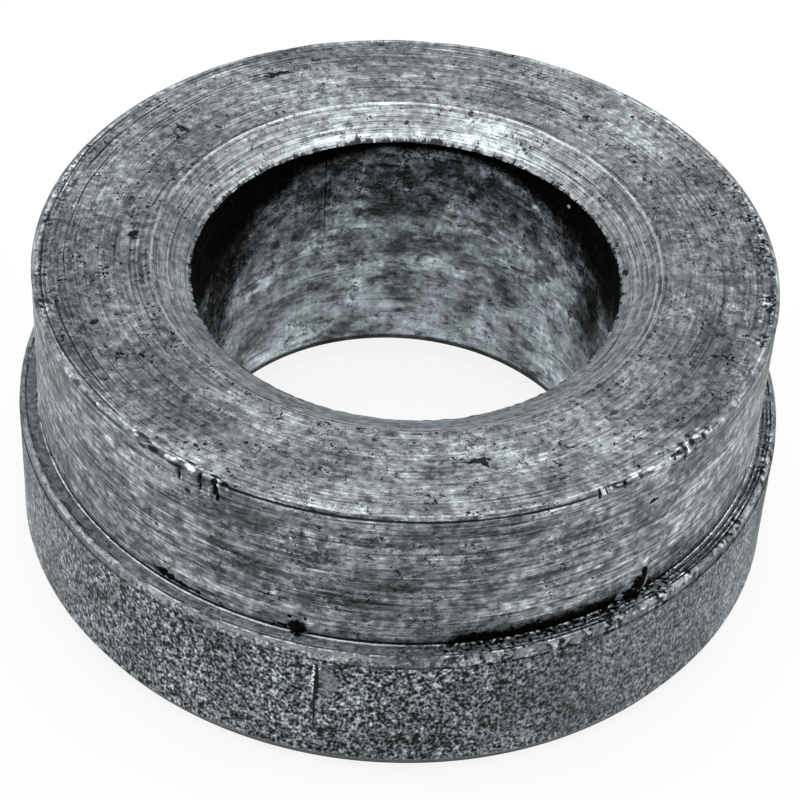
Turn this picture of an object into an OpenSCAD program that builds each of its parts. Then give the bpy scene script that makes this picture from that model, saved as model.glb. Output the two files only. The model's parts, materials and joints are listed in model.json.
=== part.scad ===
// Spring bracket bushing
//
// A plain steel bush, turned in one piece from round bar. The lower half keeps
// the bar's own rough skin and is the flange. The upper half is turned down to a
// spigot that seats in the bracket's eye, and the narrow ledge between the two
// stops it there. The bore takes the bracket's pin, and both of its mouths are
// countersunk. The base face lies on z = 0 and the bore runs along the Z axis.

/* [Bore] */
// Diameter of the bore, which takes the pin
bore_d = 22; // [12:0.5:28]
// Depth of the countersink at each mouth of the bore
countersink_h = 1.2; // [0.4:0.1:2]
// Slope of the countersinks, in degrees up from the end face
countersink_angle = 30; // [20:5:60]

/* [Spigot] */
// Diameter of the turned spigot
spigot_d = 38; // [32:0.5:60]
// Length of the spigot, from the ledge to the top face
spigot_h = 8.5; // [4:0.5:30]
// Edge break round the spigot's top rim
rim_break = 0.2; // [0.1:0.05:0.5]

/* [Flange] */
// Width of the ledge that stops the bush in its bracket
ledge_w = 1; // [0.6:0.1:6]
// Height of the flange, from the base face to the ledge
flange_h = 8; // [4:0.5:30]
// Edge break round the ledge's outer edge
ledge_break = 0.15; // [0.1:0.05:0.4]
// Height of the steep chamfer round the base
base_chamfer_h = 0.75; // [0.3:0.05:1.5]
// Width of the steep chamfer round the base
base_chamfer_w = 0.4; // [0.2:0.05:0.8]
// Height of the band below the ledge where the tool has skimmed the bar's skin
skim_h = 0.65; // [0.5:0.05:2]
// Depth of that skim
skim_d = 0.05; // [0.05:0.05:0.3]

/* [Relief groove] */
// Height of the groove that the tool left in the corner above the ledge
relief_h = 0.2; // [0.1:0.05:0.6]
// Depth of that groove into the spigot
relief_d = 0.15; // [0.1:0.05:0.5]

/* [Rim dents] */
// Depth of the knocks in the spigot's rim, measured into its corner
dent_depth = 0.35; // [0.2:0.05:0.6]

/* [Hidden] */
$fn = 240;

bore_r = bore_d / 2;
mouth_r = bore_r + countersink_h / tan(countersink_angle);
spigot_r = spigot_d / 2;
flange_r = spigot_r + ledge_w;
total_h = flange_h + spigot_h;

// Where the rim was knocked, in degrees round from +X, and how wide each knock is
DENTS = [[-121, 1.5], [-117, 2], [-58, 1.3], [-46, 1.5], [-41, 2]];

// Half of the bush's section, right of the axis
module section() {
    bore_side = [
        [mouth_r, 0],
        [bore_r, countersink_h],
        [bore_r, total_h - countersink_h],
        [mouth_r, total_h]
    ];
    spigot_side = [
        [spigot_r - rim_break, total_h],
        [spigot_r, total_h - rim_break],
        [spigot_r, flange_h + relief_h],
        [spigot_r - relief_d, flange_h + relief_h],
        [spigot_r - relief_d, flange_h]
    ];
    flange_side = [
        [flange_r - skim_d - ledge_break, flange_h],
        [flange_r - skim_d, flange_h - ledge_break],
        [flange_r - skim_d, flange_h - skim_h],
        [flange_r, flange_h - skim_h],
        [flange_r, base_chamfer_h],
        [flange_r - base_chamfer_w, 0]
    ];
    polygon(concat(bore_side, spigot_side, flange_side));
}

// A ball that bites into the rim's corner, as wide as the knock and dent_depth deep
module dent(angle, width) {
    ball_r = (width * width / 4 + dent_depth * dent_depth) / (2 * dent_depth);
    out = (ball_r - dent_depth) * cos(45);
    rotate([0, 0, angle])
        translate([spigot_r + out, 0, total_h + out])
            sphere(r = ball_r, $fn = 32);
}

// The whole bush, one solid
module bushing() {
    color([0.5, 0.53, 0.54])
        difference() {
            rotate_extrude() section();
            for (d = DENTS) dent(d[0], d[1]);
        }
}

bushing();
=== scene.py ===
# %% [markdown]
# # A turned spring bracket bushing
# The real object is one steel bush, turned from round bar: a flange that keeps the bar's rough skin, a
# spigot turned down above it, and a countersunk bore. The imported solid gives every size. What it can't
# give is the look of worked metal: feed marks, knocks, burrs, oily stains and the grain of the skin.
# Those are made here, some as shape and some as finish.

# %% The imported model
import json
import math

import bpy
import numpy as np
from mathutils import Matrix, Vector


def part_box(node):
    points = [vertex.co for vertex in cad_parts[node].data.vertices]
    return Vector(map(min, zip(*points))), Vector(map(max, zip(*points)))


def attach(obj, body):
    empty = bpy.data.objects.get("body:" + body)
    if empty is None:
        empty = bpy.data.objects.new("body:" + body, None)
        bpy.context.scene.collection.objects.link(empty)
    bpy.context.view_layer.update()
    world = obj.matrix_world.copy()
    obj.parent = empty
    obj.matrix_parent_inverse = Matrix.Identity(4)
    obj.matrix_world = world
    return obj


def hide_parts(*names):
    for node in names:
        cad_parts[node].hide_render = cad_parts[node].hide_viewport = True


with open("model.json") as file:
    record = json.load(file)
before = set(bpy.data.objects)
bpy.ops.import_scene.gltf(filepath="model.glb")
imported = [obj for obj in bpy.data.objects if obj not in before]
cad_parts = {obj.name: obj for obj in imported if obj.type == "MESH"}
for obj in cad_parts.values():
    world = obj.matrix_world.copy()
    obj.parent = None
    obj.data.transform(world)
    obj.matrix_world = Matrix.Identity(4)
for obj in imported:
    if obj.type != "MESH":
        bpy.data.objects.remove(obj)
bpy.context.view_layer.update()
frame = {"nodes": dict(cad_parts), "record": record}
MM = 0.001
print("packed nodes:", sorted(frame["nodes"]))

# %% [markdown]
# ## Sizes
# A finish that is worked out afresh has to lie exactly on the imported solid, so nothing is measured by
# eye. The record's mounts give the bore, the spigot and the ledge, and the node's box gives the rest.
# Only the edge breaks, the countersink's slope and the small cuts, which no mount states, are repeated.

# %% Sizes in millimetres
mounts = {m["name"]: m for m in frame["record"]["mounts"]}
BORE_R = mounts["bore"]["dims"]["r_mm"]
SPIGOT_R = mounts["spigot"]["dims"]["r_mm"]
LEDGE_Z = mounts["ledge"]["pos_m"][2] / MM
FLANGE_R = round(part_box("bushing")[1].x / MM, 2)
TOP_Z = round(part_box("bushing")[1].z / MM, 2)

COUNTERSINK_H = (TOP_Z - mounts["bore"]["dims"]["length_mm"]) / 2
COUNTERSINK_SLOPE = math.radians(30)
MOUTH_R = BORE_R + COUNTERSINK_H / math.tan(COUNTERSINK_SLOPE)
RIM_BREAK = 0.2
LEDGE_BREAK = 0.15
BASE_CHAMFER_H = 0.75
BASE_CHAMFER_W = 0.4
SKIM_H = 0.65
SKIM_D = 0.05
RELIEF_H = 0.2
RELIEF_D = 0.15
print("height", TOP_Z, "flange radius", FLANGE_R, "mouth radius", round(MOUTH_R, 2))

# %% [markdown]
# ## Camera
# The photograph looks down on the bush at about 40 degrees, rolled a little clockwise. The camera could
# be aimed with a constraint, but a fitted view is easier to keep as numbers: how far it stands from the
# middle of the top face, how steeply it looks down, how far it is rolled, and where in the picture that
# middle falls. The last turns the camera a little off the middle, as a photographer frames a shot.

# %% Camera
PICTURE = 800
LENS_PX = 2789
CAMERA_AWAY = 142.1
CAMERA_DOWN = math.radians(39.62)
CAMERA_ROLL = math.radians(3.43)
TOP_MIDDLE_PX = (407.1, 255.3)
SENSOR_MM = 36


def turn_to(direction):
    """The turn that carries the forward axis (0, 0, 1) onto a direction, by Rodrigues' formula."""
    d = np.array(direction) / np.linalg.norm(direction)
    v = np.cross([0, 0, 1], d)
    k = np.array([[0, -v[2], v[1]], [v[2], 0, -v[0]], [-v[1], v[0], 0]])
    return np.eye(3) + k + k @ k / (1 + d[2])


def camera_axes():
    """The camera's right, up and forward axes as rows: level view, then roll, then aim."""
    s, c = math.sin(CAMERA_DOWN), math.cos(CAMERA_DOWN)
    level = np.array([[1, 0, 0], [0, s, c], [0, c, -s]])
    s, c = math.sin(CAMERA_ROLL), math.cos(CAMERA_ROLL)
    roll = np.array([[c, s, 0], [-s, c, 0], [0, 0, 1]])
    off = [(TOP_MIDDLE_PX[0] - PICTURE / 2) / LENS_PX, (PICTURE / 2 - TOP_MIDDLE_PX[1]) / LENS_PX]
    return turn_to([off[0], off[1], 1]) @ roll @ level


def add_object(name, data):
    """A new object with that data, linked to the scene."""
    thing = bpy.data.objects.new(name, data)
    bpy.context.scene.collection.objects.link(thing)
    return thing


right, up, forward = camera_axes()
place = Matrix(np.stack([right, up, -forward], axis=1).tolist()).to_4x4()
place.translation = (
    0,
    -CAMERA_AWAY * math.cos(CAMERA_DOWN) * MM,
    (TOP_Z + CAMERA_AWAY * math.sin(CAMERA_DOWN)) * MM,
)
camera_data = bpy.data.cameras.new("camera")
camera_data.sensor_width = SENSOR_MM
camera_data.lens = LENS_PX * SENSOR_MM / PICTURE
camera_data.clip_start = 0.01
camera = add_object("camera", camera_data)
camera.matrix_world = place
bpy.context.scene.camera = camera
print("lens", round(camera_data.lens, 1), "mm")

# %% [markdown]
# ## Section
# A turned part is its section swept round the axis, so the mesh starts as one closed line of radius and
# height. Each stretch below is a face that the tool cut, with its end point and the number of rows that
# it gets. Rows crowd where the shape has something to show, such as the rim, and thin out on plain walls.

# %% Section
COLUMNS = 720
KNOCKED = [(-131, -112), (-61, -38)]
RIM_ZONE = 1.7
FOOT_ZONE = 1.6
START = (MOUTH_R, 0.0)
SECTION = [
    ("base", (FLANGE_R - BASE_CHAMFER_W, 0.0), 3),
    ("edge", (FLANGE_R, BASE_CHAMFER_H), 3),
    ("skin", (FLANGE_R, LEDGE_Z - SKIM_H), 24),
    ("ledge", (FLANGE_R - SKIM_D, LEDGE_Z - SKIM_H), 1),
    ("ledge", (FLANGE_R - SKIM_D, LEDGE_Z - LEDGE_BREAK), 3),
    ("ledge", (FLANGE_R - SKIM_D - LEDGE_BREAK, LEDGE_Z), 2),
    ("ledge", (SPIGOT_R - RELIEF_D, LEDGE_Z), 5),
    ("groove", (SPIGOT_R - RELIEF_D, LEDGE_Z + RELIEF_H), 2),
    ("groove", (SPIGOT_R, LEDGE_Z + RELIEF_H), 1),
    ("spigot", (SPIGOT_R, LEDGE_Z + FOOT_ZONE), 10),
    ("spigot", (SPIGOT_R, TOP_Z - RIM_ZONE), 8),
    ("spigot", (SPIGOT_R, TOP_Z - RIM_BREAK), 14),
    ("spigot", (SPIGOT_R - RIM_BREAK, TOP_Z), 2),
    ("top", (SPIGOT_R - 1.2, TOP_Z), 8),
    ("top", (MOUTH_R + 0.6, TOP_Z), 8),
    ("top", (MOUTH_R, TOP_Z), 4),
    ("countersink", (BORE_R, TOP_Z - COUNTERSINK_H), 14),
    ("bore", (BORE_R, TOP_Z - COUNTERSINK_H - 2), 8),
    ("bore", (BORE_R, COUNTERSINK_H), 14),
    ("base", START, 4),
]


def section_rows():
    """Radius and height of each row, straight between the end points, and the zone of each strip."""
    points, zones, here = [np.array([START])], [], np.array(START)
    for zone, end, rows in SECTION:
        share = np.linspace(0, 1, rows + 1)[1:, None]
        points.append(here + (np.array(end) - here) * share)
        zones += [zone] * rows
        here = np.array(end)
    line = np.concatenate(points)[:-1]
    return line[:, 0], line[:, 1], zones


def column_angles():
    """Angles all round, with the columns three times as close in the windows where the rim is knocked."""
    fine = np.radians(np.linspace(-180, 180, 3601))
    crowd = 1.0 + 2.0 * sum(((fine > math.radians(a)) & (fine < math.radians(b))) for a, b in KNOCKED)
    total = np.concatenate([[0], np.cumsum((crowd[1:] + crowd[:-1]) / 2)])
    return np.interp(np.arange(COLUMNS) / COLUMNS * total[-1], total, fine)


row_r, row_z, strip_zone = section_rows()
angle = column_angles()
print(len(row_r), "rows,", 2 * len(row_r) * COLUMNS, "triangles")

# %% [markdown]
# ## Relief
# Knocks, burrs and grime lumps could be painted on, but the rim's outline would stay a perfect circle
# and the marks would vanish in raking light. So they are moved into the mesh. A knock is an egg-shaped
# tool pressed into the metal: points inside the egg move straight out to its skin. A burr is a small
# rounded swelling along the way that the surface faces.

# %% Relief helpers
R, A = np.meshgrid(row_r, angle, indexing="ij")
Z = np.repeat(row_z[:, None], COLUMNS, axis=1)


def row_normals():
    """The way each row faces in the section: the mean of the two strips that meet there."""
    dr = np.roll(row_r, -1) - row_r
    dz = np.roll(row_z, -1) - row_z
    size = np.hypot(dr, dz)
    n = np.stack([dz / size, -dr / size])
    n = n + np.roll(n, 1, axis=1)
    n /= np.maximum(np.hypot(n[0], n[1]), 1e-6)
    return n[0][:, None], n[1][:, None]


FACE_R, FACE_Z = row_normals()


def arc(degrees, radius):
    """Signed length round the circle of that radius, from the given angle to each column."""
    return ((A - math.radians(degrees) + np.pi) % (2 * np.pi) - np.pi) * radius


def knock(degrees, centre_r, centre_z, half_round, half_r, half_z):
    """Moves the points inside an egg out to its skin, along the line from the egg's middle."""
    global R, Z, A
    a = arc(degrees, centre_r) / half_round
    r, z = (R - centre_r) / half_r, (Z - centre_z) / half_z
    deep = np.sqrt(a * a + r * r + z * z)
    grow = np.where(deep < 1, 1 / np.maximum(deep, 0.05), 1)
    A = A + a * (grow - 1) * half_round / centre_r
    R, Z = centre_r + r * grow * half_r, centre_z + z * grow * half_z


def swell(height, *distances):
    """Raises the surface by height times a bell of the distances, each given in widths of the bell."""
    global R, Z
    rise = height * np.exp(-sum(d * d for d in distances))
    R, Z = R + rise * FACE_R, Z + rise * FACE_Z


def lumps(seed, cells_round, cells_per_mm):
    """Smooth random heights from -1 to 1 on a lattice that closes round the bush."""
    along = np.cumsum(np.hypot(np.diff(row_r, prepend=row_r[0]), np.diff(row_z, prepend=row_z[0])))
    u, v = np.meshgrid((angle / (2 * np.pi) + 0.5) * cells_round, along * cells_per_mm)
    table = np.random.default_rng(seed).uniform(-1, 1, (int(v.max()) + 2, cells_round))
    iu, iv = u.astype(int), v.astype(int)
    fu, fv = (f * f * (3 - 2 * f) for f in (u - iu, v - iv))
    near, far = iu % cells_round, (iu + 1) % cells_round
    low = table[iv, near] * (1 - fu) + table[iv, far] * fu
    high = table[iv + 1, near] * (1 - fu) + table[iv + 1, far] * fu
    return low * (1 - fv) + high * fv


# %% [markdown]
# ### Skin, edges and burrs
# The bar's skin is rough all over, the mouth of the bore is torn where the drill broke out, and the
# countersink's cutter pushed up a thin lip round its outer edge. Each is a swelling or a shift that
# random lumps make uneven.

# %% Skin, torn mouth and lip
FACE_WEAR = 0.05
OUTSIDE_SPIGOT = SPIGOT_R + 0.5


def step(x, low, high):
    """A smooth rise from 0 at low to 1 at high."""
    t = np.clip((x - low) / (high - low), 0, 1)
    return t * t * (3 - 2 * t)


def bell(x, middle, width):
    """1 at the middle, and the exponential of minus the square of how many widths away x is."""
    return np.exp(-((x - middle) / width) ** 2)


skin = ((Z > BASE_CHAMFER_H) & (Z < LEDGE_Z - SKIM_H) & (R > OUTSIDE_SPIGOT)).astype(float)
R += skin * 0.02 * (lumps(1, 300, 3.5) - 1)
Z -= FACE_WEAR * step(Z, TOP_Z - RIM_BREAK, TOP_Z)

mouth = bell(Z, TOP_Z - COUNTERSINK_H, 0.12) * (R < BORE_R + 0.3)
R += mouth * (0.05 * lumps(2, 240, 1) + 0.05 * np.maximum(lumps(3, 90, 1) - 0.3, 0))

lip = np.clip(0.5 + 0.8 * lumps(4, 60, 0.5), 0, 1)
swell(0.05 * lip, (R - MOUTH_R - 0.03) / 0.09, (Z - TOP_Z) / 0.3)
swell(0.02 * (1 + lumps(5, 150, 0.5)), (R - SPIGOT_R + 0.1) / 0.12, (Z - TOP_Z + 0.1) / 0.25)
print("points on the bar's skin:", int(skin.sum()))

# %% [markdown]
# ### Knocks in the rim
# The spigot's rim was hit in two places. The wide bites are the solid's own, ball for ball. The narrow
# slots between them, and the burrs that the blows threw up, are too fine for the solid and are added.

# %% Knocks in the rim
DENT_DEPTH = 0.35
DENT_SLOPE = math.radians(45)
BITES = [(-121, 1.5), (-117, 2), (-58, 1.3), (-46, 1.5), (-41, 2)]
SLOTS = [(-128.0, 16.45, 0.3, 0.2), (-121.9, 15.9, 0.12, 0.4), (-118.5, 16.1, 0.14, 0.4),
         (-118.3, 15.7, 0.12, 0.35), (-116.3, 16.2, 0.24, 0.35), (-115.8, 15.8, 0.18, 0.4),
         (-115.4, 15.4, 0.12, 0.3), (-114.3, 16.3, 0.25, 0.2), (-59.4, 16.3, 0.12, 0.35),
         (-57.9, 16.3, 0.12, 0.3), (-55.2, 16.3, 0.12, 0.3), (-43.5, 16.1, 0.14, 0.5),
         (-41.3, 16.3, 0.25, 0.4)]
BURRS = [(-123.5, 0.12), (-120.2, 0.14), (-117.2, 0.16), (-113.2, 0.08), (-58.9, 0.08), (-55.9, 0.07),
         (-49.5, 0.08), (-47.8, 0.1), (-43.7, 0.09), (-40.0, 0.12), (-130.5, 0.1), (-138.4, 0.06)]

for degrees, width in BITES:
    ball = (width ** 2 / 4 + DENT_DEPTH ** 2) / (2 * DENT_DEPTH)
    out = (ball - DENT_DEPTH) * math.cos(DENT_SLOPE)
    knock(degrees, SPIGOT_R + out, TOP_Z + out, ball, ball, ball)
for degrees, height, half_round, half_z in SLOTS:
    knock(degrees, SPIGOT_R + 0.1, height, half_round, 0.4, half_z)
for degrees, height in BURRS:
    swell(height, arc(degrees, SPIGOT_R) / 0.3, (R - SPIGOT_R + 0.1) / 0.2, (Z - TOP_Z + 0.1) / 0.25)
print(len(BITES) + len(SLOTS), "knocks and", len(BURRS), "burrs")

# %% [markdown]
# ### Ledge and flange marks
# The ledge's edge is bruised on the right, where it was dropped, and two lumps of old grease sit in the
# corner above it. The flange has one upright scratch, cut by another part.

# %% Ledge and flange marks
LEDGE_NICKS = [(-26.8, 0.35), (-31.4, 0.2), (-37.3, 0.25), (-42.0, 0.2), (-46.6, 0.25), (-50.5, 0.3),
               (-54.4, 0.25), (-58.0, 0.2), (-62.2, 0.2), (-66.8, 0.15)]
GREASE = [(-102.7, 8.45, 0.48, 0.45), (-51.3, 8.35, 0.6, 0.45), (-50.2, 8.8, 0.42, 0.5),
          (-49.3, 9.4, 0.24, 0.45)]
SCRATCH_DEG, SCRATCH_Z = -99.3, 6.2

for degrees, half in LEDGE_NICKS:
    knock(degrees, FLANGE_R + 0.1, LEDGE_Z + 0.1, half, 0.3, 0.25)
    swell(0.12 * half, arc(degrees - 1, FLANGE_R) / 0.25, (R - FLANGE_R + 0.15) / 0.15, (Z - LEDGE_Z) / 0.2)
for degrees, height, half_round, half_z in GREASE:
    swell(0.22, arc(degrees, SPIGOT_R) / half_round, (Z - height) / half_z, (R - SPIGOT_R) / 0.6)
scratch = np.exp(-((Z - SCRATCH_Z) / 1.1) ** 4) * (R > OUTSIDE_SPIGOT)
burr, cut = (bell(arc(SCRATCH_DEG + aside, FLANGE_R), 0, 0.16) for aside in (0.3, -0.5))
R += scratch * (0.06 * burr - 0.08 * cut)
print(len(LEDGE_NICKS), "nicks,", len(GREASE), "lumps of grease and one scratch")

# %% [markdown]
# ## Dirt and painted shade
# Grease and soot gather in corners and on walls that nothing rubs, and the same mask carries painted shade in
# the bore's hollow and in the corner at the spigot's foot. A mask for them could be drawn in the material,
# but the places follow the shape, so they are easier to state here, on the same grid, as an attribute that
# runs from 0 (clean) to 1 (black). The material frays the mask's edges, and some finishes also darken by the
# whole mask as smooth painted shade.

# %% Dirt and painted shade


def turned_degrees():
    """Each point's own angle in degrees, from -180 to 180."""
    return (np.degrees(A) + 180) % 360 - 180


def bore_dirt_and_shade():
    """Black under the upper mouth, partly soot and partly painted shade in the hollow. It reaches down the
    wall by a little, plus the cube of how far to the side a point is, so the painted shade reaches furthest
    at the sides, less at the back and more in two humps, and lumps vary that reach. The wall further down is
    mottled."""
    deg = turned_degrees()
    side = np.abs(np.cos(np.radians(deg)))
    reach = 1.3 + 6.0 * side ** 3 - 0.8 * bell(deg, 85, 35) + 3.0 * bell(deg, 156, 14)
    reach += 1.5 * bell(deg, 28, 10)
    down = (TOP_Z - COUNTERSINK_H) - Z
    reach = reach * (1 + 0.4 * lumps(6, 44, 0.5))
    solid = 1 - step(down, reach * 0.3, reach * 1.45)
    mottled = 0.36 * (1 - step(down, 2.5, 6.5))
    return (R < BORE_R + 0.2) * (Z < TOP_Z - COUNTERSINK_H + 0.05) * np.maximum(solid, mottled)


def foot_dirt_and_shade():
    """A dark band along the spigot's foot, in the corner above the ledge, partly grease and partly painted
    shade: thick where grease pooled and thin elsewhere.
    """
    deg = turned_degrees()
    pool = step(deg, -85, -78) * (1 - step(deg, -50, -45))
    tail = step(deg, -50, -45) * (1 - step(deg, -20, 0))
    left = 1 - step(deg, -165, -140)
    height = 0.05 + 0.95 * pool + 0.75 * tail + 0.25 * left
    strength = pool + 0.55 * tail + 0.4 * left
    thin = 1 - step(Z - LEDGE_Z, height * 0.1, height * 1.5)
    return (R > SPIGOT_R - 0.5) * (R < SPIGOT_R + 0.02) * strength * thin


# No mark may carry a point out of the solid's box.
R, Z = np.minimum(R, FLANGE_R), np.clip(Z, 0, TOP_Z)
# The mask is part dirt and part painted shade.
dirt = np.clip(bore_dirt_and_shade() + foot_dirt_and_shade(), 0, 1)
print("share of points with dirt:", round(float((dirt > 0.5).mean()), 3))

# %% [markdown]
# ## Mesh
# The grid becomes a closed tube of quads: each quad joins two rows and two columns, and both directions
# wrap round. The rows run so that the faces point outwards.

# %% Mesh
ZONES = ["skin", "edge", "ledge", "groove", "spigot", "top", "countersink", "bore", "base"]


def build_mesh(name):
    """Points at radius, angle and height, joined into quads that wrap round both ways."""
    rows = len(row_r)
    co = np.stack([R * np.cos(A), R * np.sin(A), Z], axis=-1).reshape(-1, 3) * MM
    i, j = np.meshgrid(np.arange(rows), np.arange(COLUMNS), indexing="ij")
    i2, j2 = (i + 1) % rows, (j + 1) % COLUMNS
    quads = np.stack([i * COLUMNS + j, i * COLUMNS + j2, i2 * COLUMNS + j2, i2 * COLUMNS + j], axis=-1)
    quads = quads.reshape(-1, 4)
    mesh = bpy.data.meshes.new(name)
    mesh.vertices.add(len(co))
    mesh.vertices.foreach_set("co", co.astype(np.float32).ravel())
    mesh.loops.add(quads.size)
    mesh.loops.foreach_set("vertex_index", quads.astype(np.int32).ravel())
    mesh.polygons.add(len(quads))
    mesh.polygons.foreach_set("loop_start", np.arange(0, quads.size, 4, dtype=np.int32))
    index = np.repeat([ZONES.index(z) for z in strip_zone], COLUMNS).astype(np.int32)
    mesh.update(calc_edges=True)
    mesh.polygons.foreach_set("material_index", index)
    mask = mesh.attributes.new("dirt", "FLOAT", "POINT")
    mask.data.foreach_set("value", dirt.astype(np.float32).ravel())
    mesh.validate()
    mesh.shade_smooth()
    return mesh


bush = add_object("turned_bush", build_mesh("turned_bush"))
print(len(bush.data.vertices), "points,", len(bush.data.polygons), "quads")

# %% [markdown]
# ### Sharp corners
# Smooth shading would round off the tool's clean corners, so every edge whose two faces meet at more than
# the angle below is marked sharp. The columns stand too close together to reach it on a plain wall, so
# these are the edges that run round the bush, and the corners of the knocks.

# %% Sharp corners
SHARP_ABOVE = math.radians(25)

bush.data.set_sharp_from_angle(angle=SHARP_ABOVE)
print("sharp edges:", sum(edge.use_edge_sharp for edge in bush.data.edges))

# %% [markdown]
# ## Wires
# The finishes are sums and products of patterns, which as bare nodes are long to write. A wire is one
# number that varies over the surface. Arithmetic on wires adds the Math nodes, so a recipe below reads
# like a formula, and one function makes every other kind of node.

# %% Wires


class Wire:
    """A number or a vector that varies over the surface, as a node's output."""

    def __init__(self, tree, socket):
        self.tree = tree
        self.socket = socket

    def math(self, operation, *others):
        """A Math node with this wire first and wires or plain numbers after it."""
        inputs = dict(enumerate((self, *others)))
        return add_node(self.tree, "ShaderNodeMath", inputs, operation=operation)

    def __add__(self, other):
        return self.math("ADD", other)

    def __sub__(self, other):
        return self.math("SUBTRACT", other)

    def __mul__(self, other):
        return self.math("MULTIPLY", other)

    def __truediv__(self, other):
        return self.math("DIVIDE", other)

    def __rsub__(self, other):
        return self.math("MULTIPLY", -1).math("ADD", other)

    __radd__ = __add__
    __rmul__ = __mul__

    def step(self, low, high):
        """A smooth rise from 0 at low to 1 at high."""
        inputs = {"Value": self, "From Min": low, "From Max": high}
        return add_node(self.tree, "ShaderNodeMapRange", inputs, interpolation_type="SMOOTHSTEP")

    def near(self, middle, width):
        """A smooth hump, 1 at the middle and 0 a width away from it."""
        return 1 - (self - middle).math("ABSOLUTE").step(0, width)

    def band(self, middle, half, soft=0.03):
        """A flat band with crisp edges: 1 within half of the middle, 0 a little further out."""
        return 1 - (self - middle).math("ABSOLUTE").step(half, half + soft)


def plug(tree, values, inputs):
    """Puts each wire or plain value into the input of that name or place."""
    for name, value in values.items():
        if isinstance(value, Wire):
            tree.links.new(value.socket, inputs[name])
        else:
            inputs[name].default_value = value


def add_node(tree, kind, values, output=0, **choices):
    """One output of a new node as a wire. values go into its inputs, and choices set its own options."""
    node = tree.nodes.new(kind)
    for name, choice in choices.items():
        setattr(node, name, choice)
    plug(tree, values, node.inputs)
    return Wire(tree, node.outputs[output])


# %% [markdown]
# ## Finish
# Every finish starts the same way: a metal shader, and the places where it is asked, in millimetres.
# Turned metal is patterned round its axis, so besides x, y and z a finish knows the radius and the unit
# direction outwards. Noise read at direction times a small number and radius times a large one is long
# round the bush and thin across it, which is what a lathe leaves. A mark's place is a vector of its angle
# and of the radius on a face, the height on a wall, or the height that the camera sees along the rim.

# %% Finish
LATTICE_TURN = 0.6


class Finish:
    """A metal material, with the wires that its recipe reads."""

    def __init__(self, name):
        self.material = bpy.data.materials.new(name)
        self.material.use_nodes = True
        self.tree = self.material.node_tree
        self.shader = self.tree.nodes["Principled BSDF"]
        split = self.tree.nodes.new("ShaderNodeSeparateXYZ")
        plug(self.tree, {0: self.add("ShaderNodeTexCoord", {}, "Object")}, split.inputs)
        self.x, self.y, self.z = (Wire(self.tree, split.outputs[i]) * (1 / MM) for i in range(3))
        self.r = (self.x * self.x + self.y * self.y).math("SQRT")
        self.east, self.north = self.x / self.r, self.y / self.r
        self.turn = self.y.math("ARCTAN2", self.x) * (180 / math.pi)
        self.polar = self.join(self.turn, self.r, self.z)
        self.seen = (SPIGOT_R - self.r) * math.tan(CAMERA_DOWN) + self.z
        self.face = self.join(self.turn, self.r, 0.0)
        self.wall = self.join(self.turn, self.z, 0.0)
        self.rim = self.join(self.turn, self.seen, 0.0)
        self.fray = self.grain(4.0, 11.0, detail=2) - 0.5

    def add(self, kind, values, output=0, **choices):
        """One output of a new node in this material as a wire."""
        return add_node(self.tree, kind, values, output, **choices)

    def join(self, *parts):
        """Three wires or plain numbers as one vector."""
        return self.add("ShaderNodeCombineXYZ", dict(enumerate(parts)))

    def sector(self, start, end, soft=4.0):
        """1 between two angles in degrees, falling to 0 outside them."""
        return self.turn.step(start - soft, start) * self.turn.step(end + soft, end)

    def noise(self, x, y, z, detail=2.0, roughness=0.5, bend=0.0, turn=0.0):
        """Blender's fractal noise at a point of three wires, from 0 to 1 and mostly near 0.5. The point
        is first turned by that angle about each axis."""
        place = self.join(x, y, z)
        if turn:
            place = self.add("ShaderNodeMapping", {"Vector": place, "Rotation": (turn, turn, turn)})
        return self.add("ShaderNodeTexNoise", {
            "Vector": place, "Scale": 1.0, "Detail": detail, "Roughness": roughness, "Distortion": bend})

    def grain(self, per_mm, shift=0.0, **how):
        """Noise with the same size every way, per_mm cells to a millimetre."""
        return self.noise(self.x * per_mm + shift, self.y * per_mm, self.z * per_mm, **how)

    def streaks(self, round_cells, across, shift=0.0, **how):
        """Noise drawn out round the axis. across is a wire that changes over the surface's width. The
        turn hides the noise's lattice, which shows as a plaid where a face lies along it."""
        east, north = self.east * round_cells + shift, self.north * round_cells
        return self.noise(east, north, across, turn=LATTICE_TURN, **how)

    def attribute(self, name):
        """An attribute of the mesh as a wire."""
        return self.add("ShaderNodeAttribute", {}, "Fac", attribute_name=name)

    def colour(self, tone, tint):
        """A grey of that tone, with its red, green and blue each times the tint, which may be wires."""
        colour = self.add("ShaderNodeCombineColor", {i: tone * share for i, share in enumerate(tint)})
        plug(self.tree, {"Base Color": colour}, self.shader.inputs)

    def relief(self, height):
        """Bump from a height in millimetres."""
        bump = self.add("ShaderNodeBump", {"Distance": MM, "Height": height})
        plug(self.tree, {"Normal": bump}, self.shader.inputs)

    def metal(self, metallic, roughness, brushed=0.0, spec=0.5):
        """How metallic, rough and shiny the surface is, and how far its gloss is drawn out across the
        turning: outwards on a face and upwards on a wall, which the sum of the two covers."""
        tangent = self.add("ShaderNodeVectorTransform", {0: self.join(self.east, self.north, 1.0)},
                           vector_type="VECTOR", convert_from="OBJECT", convert_to="WORLD")
        plug(self.tree, {
            "Metallic": metallic, "Specular IOR Level": spec, "Roughness": roughness,
            "Anisotropic": brushed, "Tangent": tangent}, self.shader.inputs)


# %% [markdown]
# ### Stains, scribbles and pits
# The marks of handling are few in kind: soft stains, thin dark scribbles where grit was dragged, long
# scores round the axis, and pits that hold grease. Each is noise seen through a gentle or a steep step,
# so every zone shares these helpers. A mark that the photograph shows at one place is an egg, with its
# middle and its half sizes in a table.

# %% Stains, scribbles and pits
GREY_TINT = (0.93, 1.0, 1.04)
BLACK = 0.006
PITS_PER_MM = 4.2


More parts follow.
